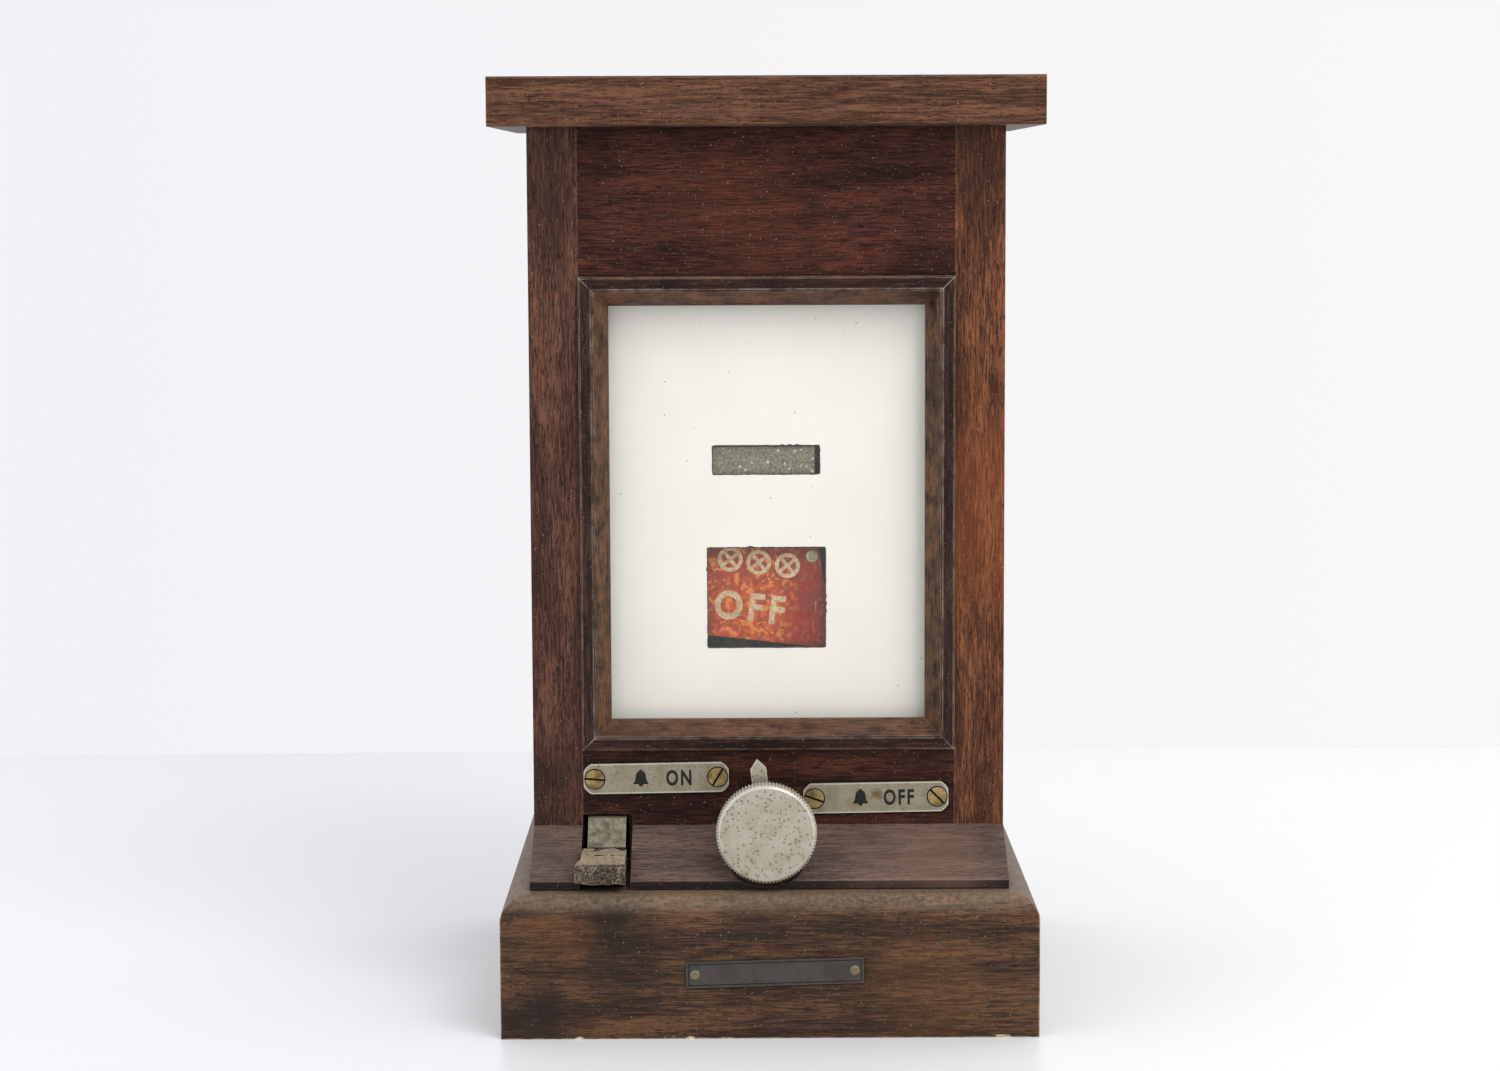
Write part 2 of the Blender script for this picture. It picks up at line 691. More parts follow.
        # Browner and a little brighter than their plate
        self.pins = AgedMetal(
            "bronze_pins", "#857657", "#655a44", "#2c271e", roughness=0.5, metallic=0.6).material()

    def lay_paint(self) -> None:
        """Enamel the dial, paint the flag and the plates behind it, and mould what is black."""
        # Smooth warm white, dark where it was cut
        self.dial = Paint(
            "white_enamel", "#edebe3", "#e9e6dc", "#8d897c", cloud_mm=30.0, cloud=0.6, chips=0.03,
            chip_mm=0.24, roughness=0.35, cut_edge="#3a372f").material()
        # Olive grey with pale grit
        self.slot = Paint(
            "grey_paint", "#6b6a50", "#52543f", "#c9c7b6", cloud_mm=2.0, chips=0.25, chip_mm=0.6,
            grit=0.22).material()
        # Dark green with paler specks
        self.green = Paint(
            "green_paint", "#2c3f2b", "#1a261d", "#566050", cloud_mm=4.0, grit=0.4).material()
        # Red, orange in the middle
        self.red = FlagPaint("flag_red").material()
        # Cream gone brown, with the red showing through
        self.cream = Paint(
            "flag_cream", "#cfc096", "#b39a74", "#a0563c", cloud_mm=1.4, chips=0.5, grit=0.45).material()
        # The dark ground of the enamel where its edge has chipped
        self.rim = Paint(
            "chipped_rim", "#33312a", "#1d1b17", "#6d6a5c", cloud_mm=1.2, chip_mm=0.2).material()
        # Wax in the cut letters, matt black
        self.black = Paint(
            "engraving_black", "#0d0b08", "#1c1813", "#55503f", cloud_mm=1.2, cloud=0.6,
            chip_mm=0.2).material()
        # Black gone a little brown
        self.ebonite = Paint(
            "ebonite", "#1f1d1b", "#2b2723", "#4d463c", cloud_mm=6.0, cloud=0.6, chips=0.2,
            roughness=0.5).material()
        # Reddish brown ridges
        self.cotton = CottonWinding().material()


def dress(finish: Material, soften_mm: float, *nodes: str) -> None:
    """Give frame nodes their finish and soften their arrises.

    Args:
        finish: The material.
        soften_mm: Width of the softened arris, or zero.
        nodes: Names of the frame's nodes.
    """
    for name in nodes:
        piece = frame["nodes"][name]
        if not piece.material_slots:
            piece.data.materials.append(finish)
        for place in piece.material_slots:
            place.material = finish
        if soften_mm:
            soft = piece.modifiers.new("soft_arris", "BEVEL")
            soft.width = soften_mm * MM
            soft.segments = 2
            soft.limit_method = "ANGLE"
            soft.angle_limit = math.radians(40)
        LOG.info("dressed %s in %s", name, finish.name)


def new_piece(name: str, mesh: bpy.types.Mesh, finish: Material, body: Body) -> bpy.types.Object:
    """Put a mesh in the scene as a piece.

    Args:
        name: The piece's name.
        mesh: Its mesh, in metres in the shared frame.
        finish: Its material.
        body: The body that it rides on.

    Returns:
        The piece.
    """
    piece = bpy.data.objects.new(name, mesh)
    bpy.context.scene.collection.objects.link(piece)
    mesh.materials.clear()
    mesh.materials.append(finish)
    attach(piece, body.value)
    LOG.info("built %s on %s", name, body.value)
    return piece


def mesh_of(shape: bmesh.types.BMesh, name: str, smooth_deg: float = 0.0) -> bpy.types.Mesh:
    """Turn a drawing into a mesh.

    Args:
        shape: The drawing, which is used up.
        name: The mesh's name.
        smooth_deg: Faces that meet at less than this are shaded smooth.

    Returns:
        The mesh.
    """
    bmesh.ops.recalc_face_normals(shape, faces=shape.faces)
    mesh = bpy.data.meshes.new(name)
    shape.to_mesh(mesh)
    shape.free()
    if smooth_deg:
        mesh.shade_smooth()
        mesh.set_sharp_from_angle(angle=math.radians(smooth_deg))
    return mesh


def fill_between(shape: bmesh.types.BMesh, inner: list[bmesh.types.BMVert],
                 outer: list[bmesh.types.BMVert]) -> None:
    """Fill the strip between two closed loops.

    Args:
        shape: The drawing.
        inner: Points of the inner loop in order.
        outer: As many points of the outer loop.
    """
    for k, corner in enumerate(inner):
        following = (k + 1) % len(inner)
        shape.faces.new((corner, outer[k], outer[following], inner[following]))


def middle(node: str) -> Vector:
    """Give the middle of a node's box."""
    low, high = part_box(node)
    return (low + high) / 2


@dataclass
class Casework:
    """The plinth, boards, panels, cap and door."""

    finishes: Finishes

    def build(self) -> None:
        """Dress every board along its own grain."""
        f = self.finishes
        dress(f.stile_left, 0.5, "left_side_board")
        dress(f.stile_right, 0.5, "right_side_board")
        dress(f.panel, 0.3, "top_front_panel")
        dress(f.rail, 0.3, "lower_front_rail")
        dress(f.cap, 0.7, "cap_board")
        dress(f.plinth, 1.2, "plinth")
        dress(f.deal, 0.4, "plinth_floor")
        dress(f.apron, 0.3, "apron")
        dress(f.door, 0.5, "back_door", "movement_battens")


@dataclass
class Window:
    """The mitred moulding, the glass, the enamelled dial and what stands behind its openings."""

    finishes: Finishes

    def build(self) -> None:
        """Dress the window's pieces."""
        f = self.finishes
        dress(f.frame_across, 0.25, "window_frame_top", "window_frame_bottom")
        dress(f.frame_up, 0.25, "window_frame_left", "window_frame_right")
        dress(f.bead, 0.2, "glazing_beads")
        dress(f.glass, 0.0, "glass_pane")
        dress(f.dial, 0.12, "dial_plate")
        dress(f.slot, 0.1, "slot_backing_plate")


@dataclass
class OpeningRims:
    """The dark, chipped rims that the two sawn openings have in the enamel."""

    finishes: Finishes
    line_mm: float = 0.28
    # Shares of the line's width that it has from step to step, and the share where a chip is
    widths: tuple[float, ...] = (0.6, 0.8, 1.0, 1.0, 1.2)
    chip_width: float = 2.2
    chip_share: float = 0.2
    proud_mm: float = 0.04
    step_mm: float = 0.8
    seed: int = 5
    # Left, right, lower and upper edge of each opening in millimetres
    openings: tuple[tuple[str, float, float, float, float], ...] = (
        ("upper", -17.65, 17.05, 174.4, 183.6), ("lower", -19.45, 18.85, 117.6, 150.3))

    def ring(self, name: str, left: float, right: float, low: float, high: float) -> None:
        """Lay one ragged line round an opening.

        Args:
            name: The opening.
            left: Its left edge in millimetres.
            right: Its right edge.
            low: Its lower edge.
            high: Its upper edge.
        """
        rng = random.Random(self.seed)
        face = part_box("dial_plate")[0].y - self.proud_mm * MM
        shape = bmesh.new()
        corners = [(left, low), (right, low), (right, high), (left, high)]
        inner, outer = [], []
        for (x0, z0), (x1, z1) in zip(corners, corners[1:] + corners[:1]):
            steps = max(2, round((abs(x1 - x0) + abs(z1 - z0)) / self.step_mm))
            out_x, out_z = (z1 > z0) - (z1 < z0), (x1 < x0) - (x1 > x0)
            for k in range(steps):
                x, z = x0 + (x1 - x0) * k / steps, z0 + (z1 - z0) * k / steps
                chip = self.chip_width if rng.random() < self.chip_share else 1.0
                wide = self.line_mm * rng.choice((*self.widths, chip))
                inner.append(shape.verts.new((x * MM, face, z * MM)))
                outer.append(shape.verts.new(((x + out_x * wide) * MM, face, (z + out_z * wide) * MM)))
        fill_between(shape, outer, inner)
        piece_name = f"opening_rim_{name}"
        new_piece(piece_name, mesh_of(shape, piece_name), self.finishes.rim, Body.CASE)

    def build(self) -> None:
        """Lay both rims."""
        for opening in self.openings:
            self.ring(*opening)


@dataclass
class Mechanism:
    """The flag movement, the switch, the key's works, the terminals and the hinges."""

    finishes: Finishes

    def build(self) -> None:
        """Dress the working parts."""
        f = self.finishes
        dress(f.green, 0.1, "movement_plate")
        dress(f.hinge_brass, 0.12, "magnet_shelf", "rear_bearing_plate", "spindle_bush", "bush_nut",
              "contact_springs", "key_bracket", "movement_screws", "terminal_studs", "terminal_nuts",
              "floor_screws")
        dress(f.hinge_brass, 0.15, "door_hinge_leaves", "case_hinge_leaves", "hinge_pins", "hinge_screws",
              "door_pull")
        dress(f.steel, 0.12, "spindle", "key_pin", "key_spring", "magnet_cores", "magnet_yoke", "flag_shaft",
              "armature")
        dress(f.ebonite, 0.2, "switch_block", "switch_cam", "coil_bobbins", "terminal_block")
        dress(f.cotton, 0.0, "coil_windings")
        dress(f.lever, 0.2, "key_lever", "flag_arm")
        dress(f.nickel, 0.1, "pointer")


class Plating(Enum):
    """How each turned strip of the knob has worn."""

    PITTED = 0
    RUBBED = 1
    KNURLED = 2


@dataclass
class KnurledKnob:
    """The turned and knurled nickel-plated knob: a thick disc on a small boss."""

    # Steps of less than a millimetre in its section are the small radii that the lathe leaves
    finishes: Finishes
    teeth: int = 88
    tooth_mm: float = 0.6
    rim_mm: float = 1.2
    crown_mm: float = 0.25
    disc_mm: float = 7.0
    boss_mm: float = 6.0
    bore_mm: float = 3.2

    def profile(self, radius: float, deep: float) -> list[tuple[float, float, float, Plating]]:
        """Give the turned section.

        Args:
            radius: The knob's radius in millimetres.
            deep: Its full depth in millimetres.

        Returns:
            Radius, distance behind the front, share of the knurl and plating of the strip behind each ring.
        """
        plain, rubbed, knurled = Plating
        rim = self.rim_mm
        return [(radius * 0.35, 0.0, 0.0, plain), (radius - 3.2, self.crown_mm * 0.3, 0.0, plain),
                (radius - rim - 0.25, self.crown_mm, 0.0, plain),
                (radius - rim, self.crown_mm + 0.02, 0.0, rubbed), (radius - 0.55, rim * 0.5, 0.7, rubbed),
                (radius, rim, 1.0, knurled), (radius, rim + 0.2, 1.0, knurled),
                (radius, self.disc_mm - 0.7, 1.0, knurled), (radius - 0.5, self.disc_mm, 0.3, plain),
                (self.boss_mm + 0.3, self.disc_mm, 0.0, plain),
                (self.boss_mm, self.disc_mm + 0.3, 0.0, plain),
                (self.boss_mm, deep, 0.0, plain), (self.bore_mm, deep, 0.0, plain)]

    def build(self) -> None:
        """Turn the knob and put it in the frame node's place."""
        low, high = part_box("knob")
        centre = middle("knob")
        rings = self.profile((high.x - low.x) / 2 / MM, (high.y - low.y) / MM)
        count = self.teeth * 2
        shape = bmesh.new()
        front = shape.verts.new((centre.x, low.y, centre.z))
        back = shape.verts.new((centre.x, high.y, centre.z))
        grid = []
        for radius, behind, knurl, _ in rings:
            ring = []
            for step in range(count):
                turn = 2 * math.pi * step / count
                own = (radius - self.tooth_mm * knurl * (step % 2)) * MM
                x, z = centre.x + own * math.sin(turn), centre.z + own * math.cos(turn)
                ring.append(shape.verts.new((x, low.y + behind * MM, z)))
            grid.append(ring)
        for step in range(count):
            following = (step + 1) % count
            shape.faces.new((front, grid[0][step], grid[0][following]))
            shape.faces.new((back, grid[-1][following], grid[-1][step]))
            for near, far in zip(grid, grid[1:]):
                shape.faces.new((near[step], far[step], far[following], near[following]))
        mesh = mesh_of(shape, "knob_turned", 28)
        piece = new_piece("knob_turned", mesh, self.finishes.nickel, Body.KNOB)
        piece.data.materials.append(self.finishes.rubbed)
        piece.data.materials.append(self.finishes.knurl)
        # Each step round the knob has a front face, a back face and a face on every strip but the last ring's
        platings = [Plating.PITTED, Plating.PITTED] + [plating for *_, plating in rings[:-1]]
        for index, face in enumerate(piece.data.polygons):
            face.material_index = platings[index % len(platings)].value
        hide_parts("knob")


@dataclass
class WornKeyBlock:
    """The finger block of the key: its cap broke off and left a rough, dusty stub with a lip to the left."""

    finishes: Finishes
    cuts: int = 18
    rough_mm: float = 0.4
    # The lip stands out to the left in front of its end, where it steps back
    lip_mm: float = 1.9
    lip_end_mm: float = 2.4
    lip_step_mm: float = 0.5
    lip_foot_mm: float = 0.9
    lip_top_mm: float = 0.8
    # The top rises behind and slopes down to the front, and the front's foot is ragged
    slope_mm: float = 0.5
    rise_mm: float = 1.2
    foot_mm: float = 0.1
    ragged_mm: float = 0.4
    waves: tuple[float, float, float] = (2.7, 2.3, 2.9)
    wave_kinds: int = 6
    jitter: float = 0.3
    seed: int = 11

    def place(self, u: float, v: float, w: float, low: Vector, high: Vector, wave: float) -> Vector:
        """Give the place of one point of the stub.

        Args:
            u: Share of the width from the left.
            v: Share of the depth from the front.
            w: Share of the height from below.
            low: Lower corner of the frame node's box.
            high: Upper corner of it.
            wave: Roughness at the point.

        Returns:
            The point in metres.
        """
        y = low.y + v * (high.y - low.y)
        behind = min(max((y - low.y) / MM - self.lip_end_mm, 0.0) / self.lip_step_mm, 1.0)
        left = low.x + self.lip_mm * behind * MM
        x = left + u * (high.x - left)
        front = max(0.0, 1 - v * 2.2)
        over_lip = max(0.0, 1 - u * 6) * (1 - behind)
        ragged = self.ragged_mm * front * abs(math.sin(9 * u + 2 * wave))
        bottom = low.z + (self.foot_mm + ragged + self.lip_foot_mm * over_lip) * MM
        fall = (self.slope_mm + self.rise_mm) * front + self.lip_top_mm * over_lip
        top = high.z + (self.rise_mm - fall) * MM
        inward = Vector((0.5 - u, 0.5 - v, 0.5 - w)) * (2 * self.rough_mm * abs(wave) * MM)
        return Vector((x, y, bottom + w * (top - bottom))) + inward

    def build(self) -> None:
        """Model the stub inside the frame node's box."""
        low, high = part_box("key_block")
        rng = random.Random(self.seed)
        shape = bmesh.new()
        bmesh.ops.create_cube(shape, size=1.0)
        bmesh.ops.subdivide_edges(shape, edges=shape.edges[:], cuts=self.cuts, use_grid_fill=True)
        phases = [[rng.uniform(0, 6.28) for _ in self.waves] for _ in range(self.wave_kinds)]
        for vert in shape.verts:
            shares = [along + 0.5 for along in vert.co]
            wave = 0.0
            for k, own in enumerate(phases):
                swells = [math.sin((k + 2) * rate * share + phase)
                          for rate, share, phase in zip(self.waves, shares, own)]
                wave += math.prod(swells) / (k + 1)
            vert.co = self.place(*shares, low, high, wave + rng.uniform(-self.jitter, self.jitter))
        mesh = mesh_of(shape, "key_block_worn", 30)
        piece = new_piece("key_block_worn", mesh, self.finishes.fracture, Body.KEY)
        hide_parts("key_block")


@dataclass
class Lettering:
    """Flat characters and signs cut or painted on a tilted sheet, in the sheet's own plane."""

    centre: Vector
    tilt_deg: float
    finish: Material
    body: Body
    slot: str
    proud_mm: float = 0.03
    ring_steps: int = 40
    # The strokes of a cross lie one and three times this far over the ring
    layer_mm: float = 0.002

    def lay(self, name: str, shape: bmesh.types.BMesh) -> bpy.types.Object:
        """Lay a flat drawing in millimetres, x right and y up, on the sheet.

        Args:
            name: The piece's name.
            shape: The drawing.

        Returns:
            The piece.
        """
        upright = Matrix.Rotation(math.radians(90), 4, "X")
        turned = Matrix.Rotation(math.radians(self.tilt_deg), 4, "Y") @ upright
        place = Matrix.Translation(self.centre - Vector((0, self.proud_mm * MM, 0))) @ turned
        bmesh.ops.transform(shape, matrix=place @ Matrix.Scale(MM, 4), verts=shape.verts)
        return new_piece(name, mesh_of(shape, name), self.finish, self.body)

    def word(self, name: str, text: str, height: float, x: float, y: float, narrow: float = 0.8,
             heavy: float = 0.0) -> None:
        """Set a plain word such as ON or OFF.

        Args:
            name: The piece's name.
            text: The word.
            height: Height of a capital in millimetres.
            x: Place of the word's middle.
            y: Place of the word's middle.
            narrow: Width of the letters against their natural width.
            heavy: Stroke growth in millimetres.
        """
        curve = bpy.data.curves.new(name, "FONT")
        curve.body = text
        curve.align_x = "CENTER"
        curve.align_y = "CENTER"
        curve.space_character = 1.25
        curve.resolution_u = 4
        curve.extrude = 0.004
        curve.offset = heavy / height
        holder = bpy.data.objects.new(name + "_outline", curve)
        bpy.context.scene.collection.objects.link(holder)
        flat = bpy.data.meshes.new_from_object(holder.evaluated_get(bpy.context.evaluated_depsgraph_get()))
        bpy.data.objects.remove(holder)
        shape = bmesh.new()
        shape.from_mesh(flat)
        low, high = min(v.co.y for v in shape.verts), max(v.co.y for v in shape.verts)
        scale = height / (high - low)
        for vert in shape.verts:
            rise = (vert.co.y - (high + low) / 2) * scale
            vert.co = Vector((x + vert.co.x * scale * narrow, y + rise, vert.co.z))
        self.lay(name, shape)

    def lamp_sign(self, name: str, radius: float, stroke: float, x: float, y: float) -> None:
        """Lay the plain lamp sign: a ring with a cross in it.

        Args:
            name: The piece's name.
            radius: Radius of the ring in millimetres.
            stroke: Width of its line.
            x: Place of its middle.
            y: Place of its middle.
        """
        shape = bmesh.new()
        turns = [2 * math.pi * k / self.ring_steps for k in range(self.ring_steps)]
        inner, outer = [[shape.verts.new((x + r * math.cos(turn), y + r * math.sin(turn), 0.0))
                         for turn in turns] for r in (radius - stroke, radius)]
        fill_between(shape, inner, outer)
        for step in (1, 3):
            turn = math.radians(45 * step)
            along = Vector((math.cos(turn), math.sin(turn), 0))
            side = Vector((-along.y, along.x, 0)) * stroke * 0.45
            end = along * (radius - stroke * 0.5)
            centre = Vector((x, y, self.layer_mm * step))
            corners = (end + side, side - end, -end - side, end - side)
            shape.faces.new([shape.verts.new(centre + corner) for corner in corners])
        self.lay(name, shape)

    def bell(self, name: str, size: float, x: float, y: float) -> None:
        """Lay a plain bell sign.

        Args:
            name: The piece's name.
            size: Its height in millimetres.
            x: Place of its middle.
            y: Place of its middle.
        """
        half = [(0.0, 0.5), (0.07, 0.49), (0.09, 0.42), (0.2, 0.36), (0.27, 0.22), (0.3, 0.0), (0.33, -0.14),
                (0.42, -0.27), (0.42, -0.33), (0.12, -0.33), (0.1, -0.43), (0.0, -0.47)]
        points = half + [(-across, up) for across, up in reversed(half[1:-1])]
        shape = bmesh.new()
        face = shape.faces.new([shape.verts.new((x + across * size, y + up * size, 0.0))
                                for across, up in points])
        bmesh.ops.triangulate(shape, faces=[face])
        self.lay(name, shape)


@dataclass
class Plates:
    """The two switch plates, the bare plate on the plinth and their screws."""

    finishes: Finishes
    tilt_deg: float = -0.8
    bell_mm: float = 5.8
    bell_x_mm: float = -5.0
    letter_mm: float = 5.2
    word_x_mm: float = 7.4
    narrow: float = 0.72
    heavy_mm: float = 0.16
    bare_tilt_deg: float = -1.5
    border_mm: tuple[float, float] = (54.6, 6.9)
    border_line_mm: float = 0.22
    border_high_mm: float = 0.06

    def switch_plate(self, node: str, word: str) -> None:
        """Engrave a switch plate with a bell and one word.

        Args:
            node: The plate's node.
            word: ON or OFF.
        """
        centre = middle(node)
        centre.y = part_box(node)[0].y
        cut = Lettering(centre, self.tilt_deg, self.finishes.black, Body.CASE, "nickel")
        cut.bell("bell_sign_" + word.lower(), self.bell_mm, self.bell_x_mm, 0.0)
        cut.word("engraved_" + word.lower(), word, self.letter_mm, self.word_x_mm, 0.0, self.narrow,
                 self.heavy_mm)

    def bare_border(self) -> None:
        """Raise a plain border round the bare plate."""
        centre = middle("makers_plate")
        centre.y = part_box("makers_plate")[0].y
        half_wide, half_tall = (size / 2 for size in self.border_mm)
        shape = bmesh.new()
        corners = ((-1, -1), (1, -1), (1, 1), (-1, 1))
        inner, outer = [
            [shape.verts.new((x * (half_wide - inset), y * (half_tall - inset), self.border_high_mm))
             for x, y in corners] for inset in (self.border_line_mm, 0)]
        fill_between(shape, inner, outer)
        plate = Lettering(centre, self.bare_tilt_deg, self.finishes.lever, Body.CASE, "bronze")
        plate.lay("makers_plate_border", shape)

    def build(self) -> None:
        """Dress the plates and cut their signs."""
        f = self.finishes
        dress(f.plate, 0.15, "switch_plate_on")
        dress(f.stained, 0.15, "switch_plate_off")
        dress(f.screw_brass, 0.12, "plate_screws")
        dress(f.bronze, 0.1, "makers_plate")
        dress(f.pins, 0.1, "makers_plate_pins")
        self.switch_plate("switch_plate_on", "ON")
        self.switch_plate("switch_plate_off", "OFF")
        self.bare_border()


@dataclass
class Flag:
    """The red flag: worn paint, two rows of cream signs and the rivet that holds it to its arm."""

    finishes: Finishes
    tilt_deg: float = 6.5
    joint: str = "flag_swing"
    # Places are across from the swing's axis and up from it
    lamp_x_mm: tuple[float, ...] = (-13.2, -3.8, 5.6)
    lamp_z_mm: float = -52.4
    lamp_mm: float = 4.1
    stroke_mm: float = 1.25
    word_mm: tuple[float, float] = (-5.2, -67.4)
    letter_mm: float = 9.8
    narrow: float = 0.9
    heavy_mm: float = 0.3
    rivet_mm: tuple[float, float, float] = (13.4, -48.4, 0.0)
    rivet_radius_mm: float = 2.0
    rivet_dome: float = 0.3

    def build(self) -> None:
        """Dress the flag and paint its signs."""
        f = self.finishes
        dress(f.red, 0.08, "flag")
        pivot = Vector(next(joint for joint in frame["joints"] if joint["name"] == self.joint)["pos_m"])
        pivot.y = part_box("flag")[0].y
        paint = Lettering(pivot, self.tilt_deg, f.cream, Body.FLAG, "flag_red")
        for index, x in enumerate(self.lamp_x_mm):
            paint.lamp_sign(f"lamp_sign_{index + 1}", self.lamp_mm, self.stroke_mm, x, self.lamp_z_mm)
        paint.word("flag_word", "OFF", self.letter_mm, *self.word_mm, self.narrow, self.heavy_mm)
        self.rivet(pivot)

    def rivet(self, pivot: Vector) -> None:
        """Set the domed rivet in the flag's upper right corner.

        Args:
            pivot: A point of the swing's axis, level with the flag's face.
        """
        shape = bmesh.new()
        bmesh.ops.create_uvsphere(shape, u_segments=24, v_segments=10, radius=self.rivet_radius_mm)
        for vert in shape.verts:
            vert.co.z = max(vert.co.z, 0.0) * self.rivet_dome
        bmesh.ops.translate(shape, vec=self.rivet_mm, verts=shape.verts)
        sign = Lettering(pivot, self.tilt_deg, self.finishes.plate, Body.FLAG, "nickel", 0.0)
        sign.lay("flag_rivet", shape)


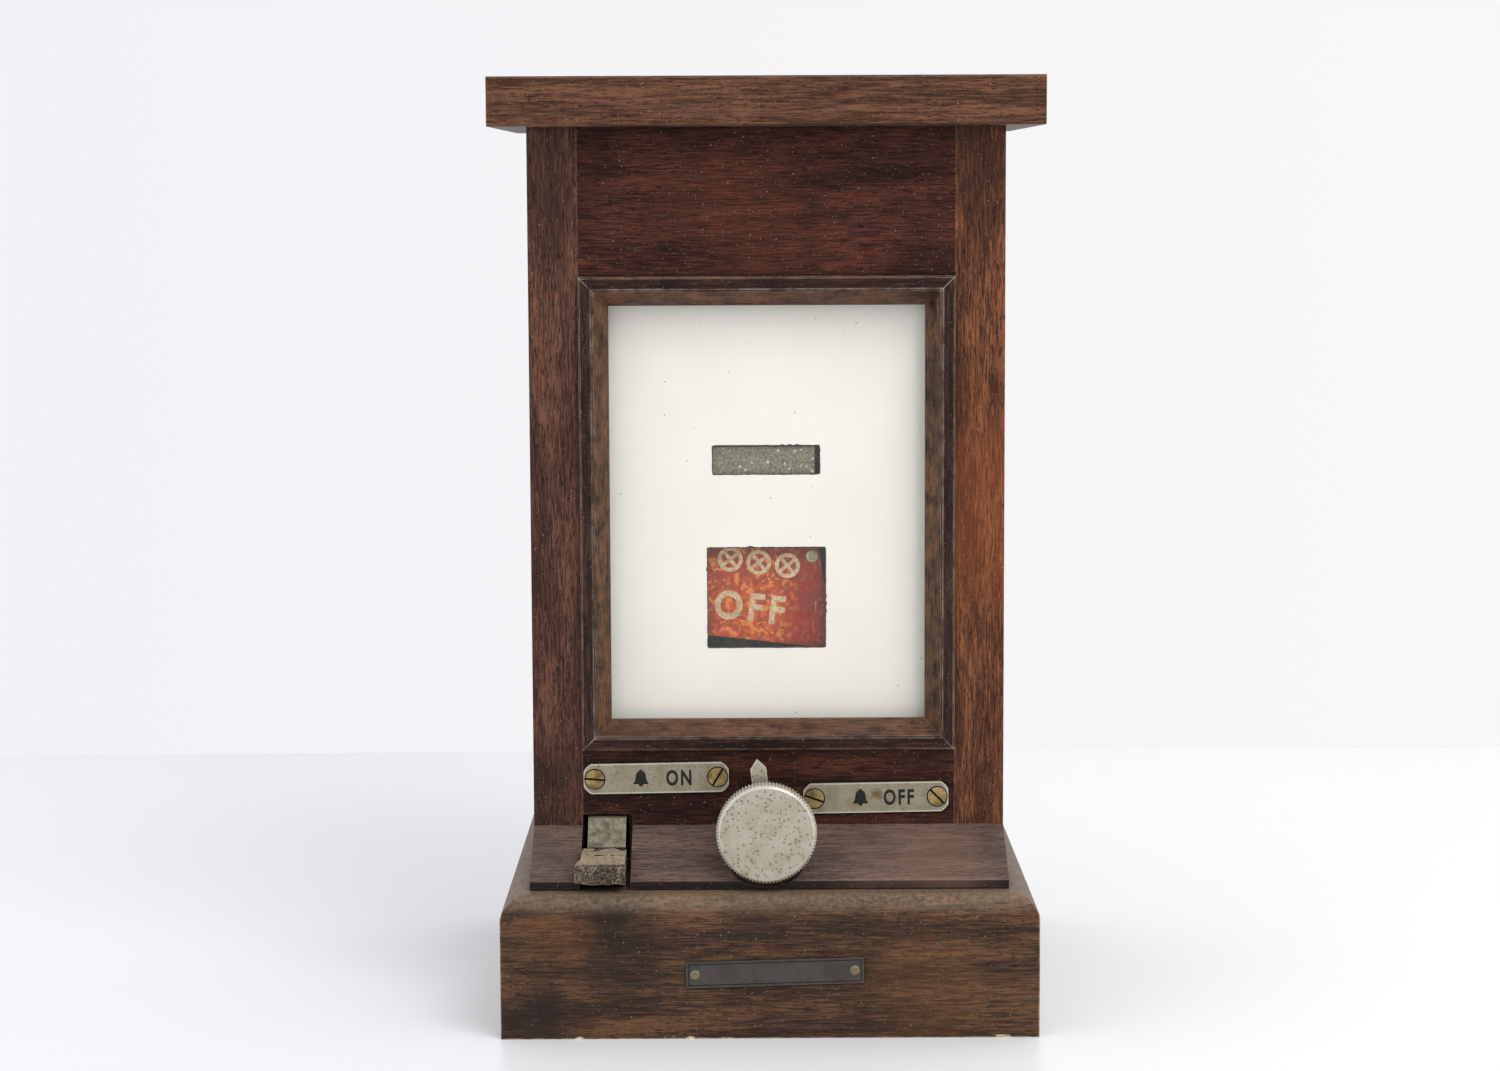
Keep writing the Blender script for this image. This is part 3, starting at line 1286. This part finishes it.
@dataclass
class Studio:
    """The pale table, the white backdrop, the soft light and the camera."""

    focal_px: float = 3216.3
    pitch_deg: float = 6.2754
    roll_deg: float = 0.245
    yaw_deg: float = 0.1261
    camera_mm: tuple[float, float, float] = (-7.93, -1077.4, 268.8)
    wall_m: float = 0.43
    reach_m: float = 3.0
    left_white: str = "#f3f2f7"
    right_white: str = "#f8f8f8"
    bounce_white: str = "#f4f4f6"
    sky_white: str = "#f6f6f8"
    sky_strength: float = 0.83
    box_m: float = 1.0
    aim_m: tuple[float, float, float] = (0.0, 0.0, 0.14)
    # The set's white goes from its left tone to its right one over this far either way
    tone_mm: float = 300.0
    # Name, watts and place in metres of each soft box
    boxes: tuple[tuple[str, float, tuple[float, float, float]], ...] = (
        ("key_box", 15.0, (0.75, -1.15, 1.5)), ("fill_box", 2.5, (-1.3, -1.1, 0.8)))

    def shown_white(self) -> Material:
        """Give a backdrop that the camera, gloss and glass see as plain white, whatever light falls on it.

        Returns:
            The material.
        """
        material = bpy.data.materials.new("backdrop_white")
        material.use_nodes = True
        tree = material.node_tree
        tree.nodes.clear()
        path = add_node(tree, "ShaderNodeLightPath")
        direct = add_node(tree, "ShaderNodeMath", operation="MAXIMUM", inputs={
            0: path.outputs["Is Camera Ray"], 1: path.outputs["Is Glossy Ray"]})
        seen = add_node(tree, "ShaderNodeMath", operation="MAXIMUM", inputs={
            0: direct.outputs[0], 1: path.outputs["Is Transmission Ray"]})
        plain = add_node(tree, "ShaderNodeBsdfDiffuse", {"Color": linear(self.bounce_white)})
        place = add_node(tree, "ShaderNodeTexCoord").outputs["Object"]
        across = add_node(tree, "ShaderNodeSeparateXYZ", {"Vector": place}).outputs["X"]
        reach = self.tone_mm * MM
        share = add_node(tree, "ShaderNodeMapRange", {"Value": across, "From Min": -reach, "From Max": reach})
        tone = add_node(tree, "ShaderNodeMix", data_type="RGBA", inputs={
            0: share.outputs[0], 6: linear(self.left_white), 7: linear(self.right_white)})
        glow = add_node(tree, "ShaderNodeEmission", {"Color": tone.outputs[2], "Strength": 1.0})
        mix = add_node(tree, "ShaderNodeMixShader", {
            0: seen.outputs[0], 1: plain.outputs[0], 2: glow.outputs[0]})
        behind = add_node(tree, "ShaderNodeNewGeometry").outputs["Backfacing"]
        clear = add_node(tree, "ShaderNodeBsdfTransparent")
        whole = add_node(tree, "ShaderNodeMixShader", {0: behind, 1: mix.outputs[0], 2: clear.outputs[0]})
        add_node(tree, "ShaderNodeOutputMaterial", {"Surface": whole.outputs[0]})
        return material

    def sheet(self, name: str, corners: list[tuple[float, float, float]], finish: Material) -> None:
        """Put one flat sheet of the set in place.

        Args:
            name: The sheet's name.
            corners: Its corners in metres.
            finish: Its material.
        """
        mesh = bpy.data.meshes.new(name)
        mesh.from_pydata(corners, [], [tuple(range(len(corners)))])
        mesh.materials.append(finish)
        piece = bpy.data.objects.new(name, mesh)
        bpy.context.scene.collection.objects.link(piece)

    def set_pieces(self) -> None:
        """Lay the table and stand the backdrop behind it."""
        table = Surface("table_laminate", 0.35, Specular_IOR_Level=0.3)
        across = table.axis("X", -self.tone_mm, self.tone_mm)
        tone = table.blend(across, linear(self.left_white), linear(self.right_white))
        far, wall = self.reach_m, self.wall_m
        self.sheet("table_top", [(-far, -far, 0), (far, -far, 0), (far, wall, 0), (-far, wall, 0)],
                   table.finish(tone))
        self.sheet("backdrop", [(-far, wall, 0), (far, wall, 0), (far, wall, far), (-far, wall, far)],
                   self.shown_white())

    def sky(self) -> None:
        """Light the room evenly and show the camera a pale sky."""
        world = bpy.data.worlds.new("studio")
        bpy.context.scene.world = world
        world.use_nodes = True
        tree = world.node_tree
        even = tree.nodes["Background"]
        even.inputs["Color"].default_value = linear("#ffffff")
        even.inputs["Strength"].default_value = self.sky_strength
        seen = add_node(tree, "ShaderNodeBackground", {"Color": linear(self.sky_white), "Strength": 1.0})
        camera = add_node(tree, "ShaderNodeLightPath").outputs["Is Camera Ray"]
        both = add_node(tree, "ShaderNodeMixShader", {0: camera, 1: even.outputs[0], 2: seen.outputs[0]})
        tree.links.new(both.outputs[0], tree.nodes["World Output"].inputs["Surface"])

    def lights(self) -> None:
        """Hang the soft boxes, turned towards the middle of the instrument."""
        for name, watts, place in self.boxes:
            lamp = bpy.data.lights.new(name, "AREA")
            lamp.energy = watts
            lamp.size = self.box_m
            holder = bpy.data.objects.new(name, lamp)
            holder.location = place
            aim = Vector(self.aim_m) - Vector(place)
            holder.rotation_euler = aim.to_track_quat("-Z", "Y").to_euler()
            bpy.context.scene.collection.objects.link(holder)

    def camera(self) -> None:
        """Stand the camera where the photograph was taken from."""
        data = bpy.data.cameras.new("photo_camera")
        data.sensor_fit = "HORIZONTAL"
        data.sensor_width = SENSOR_MM
        data.lens = self.focal_px / PHOTO_WIDTH_PX * SENSOR_MM
        data.clip_start = 0.05
        data.clip_end = 50.0
        holder = bpy.data.objects.new("photo_camera", data)
        pitch, yaw = math.radians(self.pitch_deg), math.radians(self.yaw_deg)
        forward = Vector((math.sin(yaw) * math.cos(pitch), math.cos(yaw) * math.cos(pitch), -math.sin(pitch)))
        right = Vector((math.cos(yaw), -math.sin(yaw), 0.0))
        up = right.cross(forward)
        turn = Matrix.Rotation(math.radians(self.roll_deg), 3, forward)
        right, up = turn @ right, turn @ up
        holder.matrix_world = Matrix.Translation(Vector(self.camera_mm) * MM) @ Matrix(
            (right, up, -forward)).transposed().to_4x4()
        bpy.context.scene.collection.objects.link(holder)
        bpy.context.scene.camera = holder

    def build(self) -> None:
        """Set up the whole studio."""
        self.camera()
        self.set_pieces()
        self.sky()
        self.lights()
        bpy.context.scene.view_settings.view_transform = "Standard"


def main() -> None:
    """Build every sub-assembly in order."""
    logging.basicConfig(level=logging.INFO, format="%(name)s: %(message)s")
    Studio().build()
    finishes = Finishes()
    for kind in (Casework, Window, OpeningRims, Mechanism, KnurledKnob, WornKeyBlock, Plates, Flag):
        kind(finishes).build()
        LOG.info("finished %s", kind.__name__)


if __name__ == "__main__":
    main()
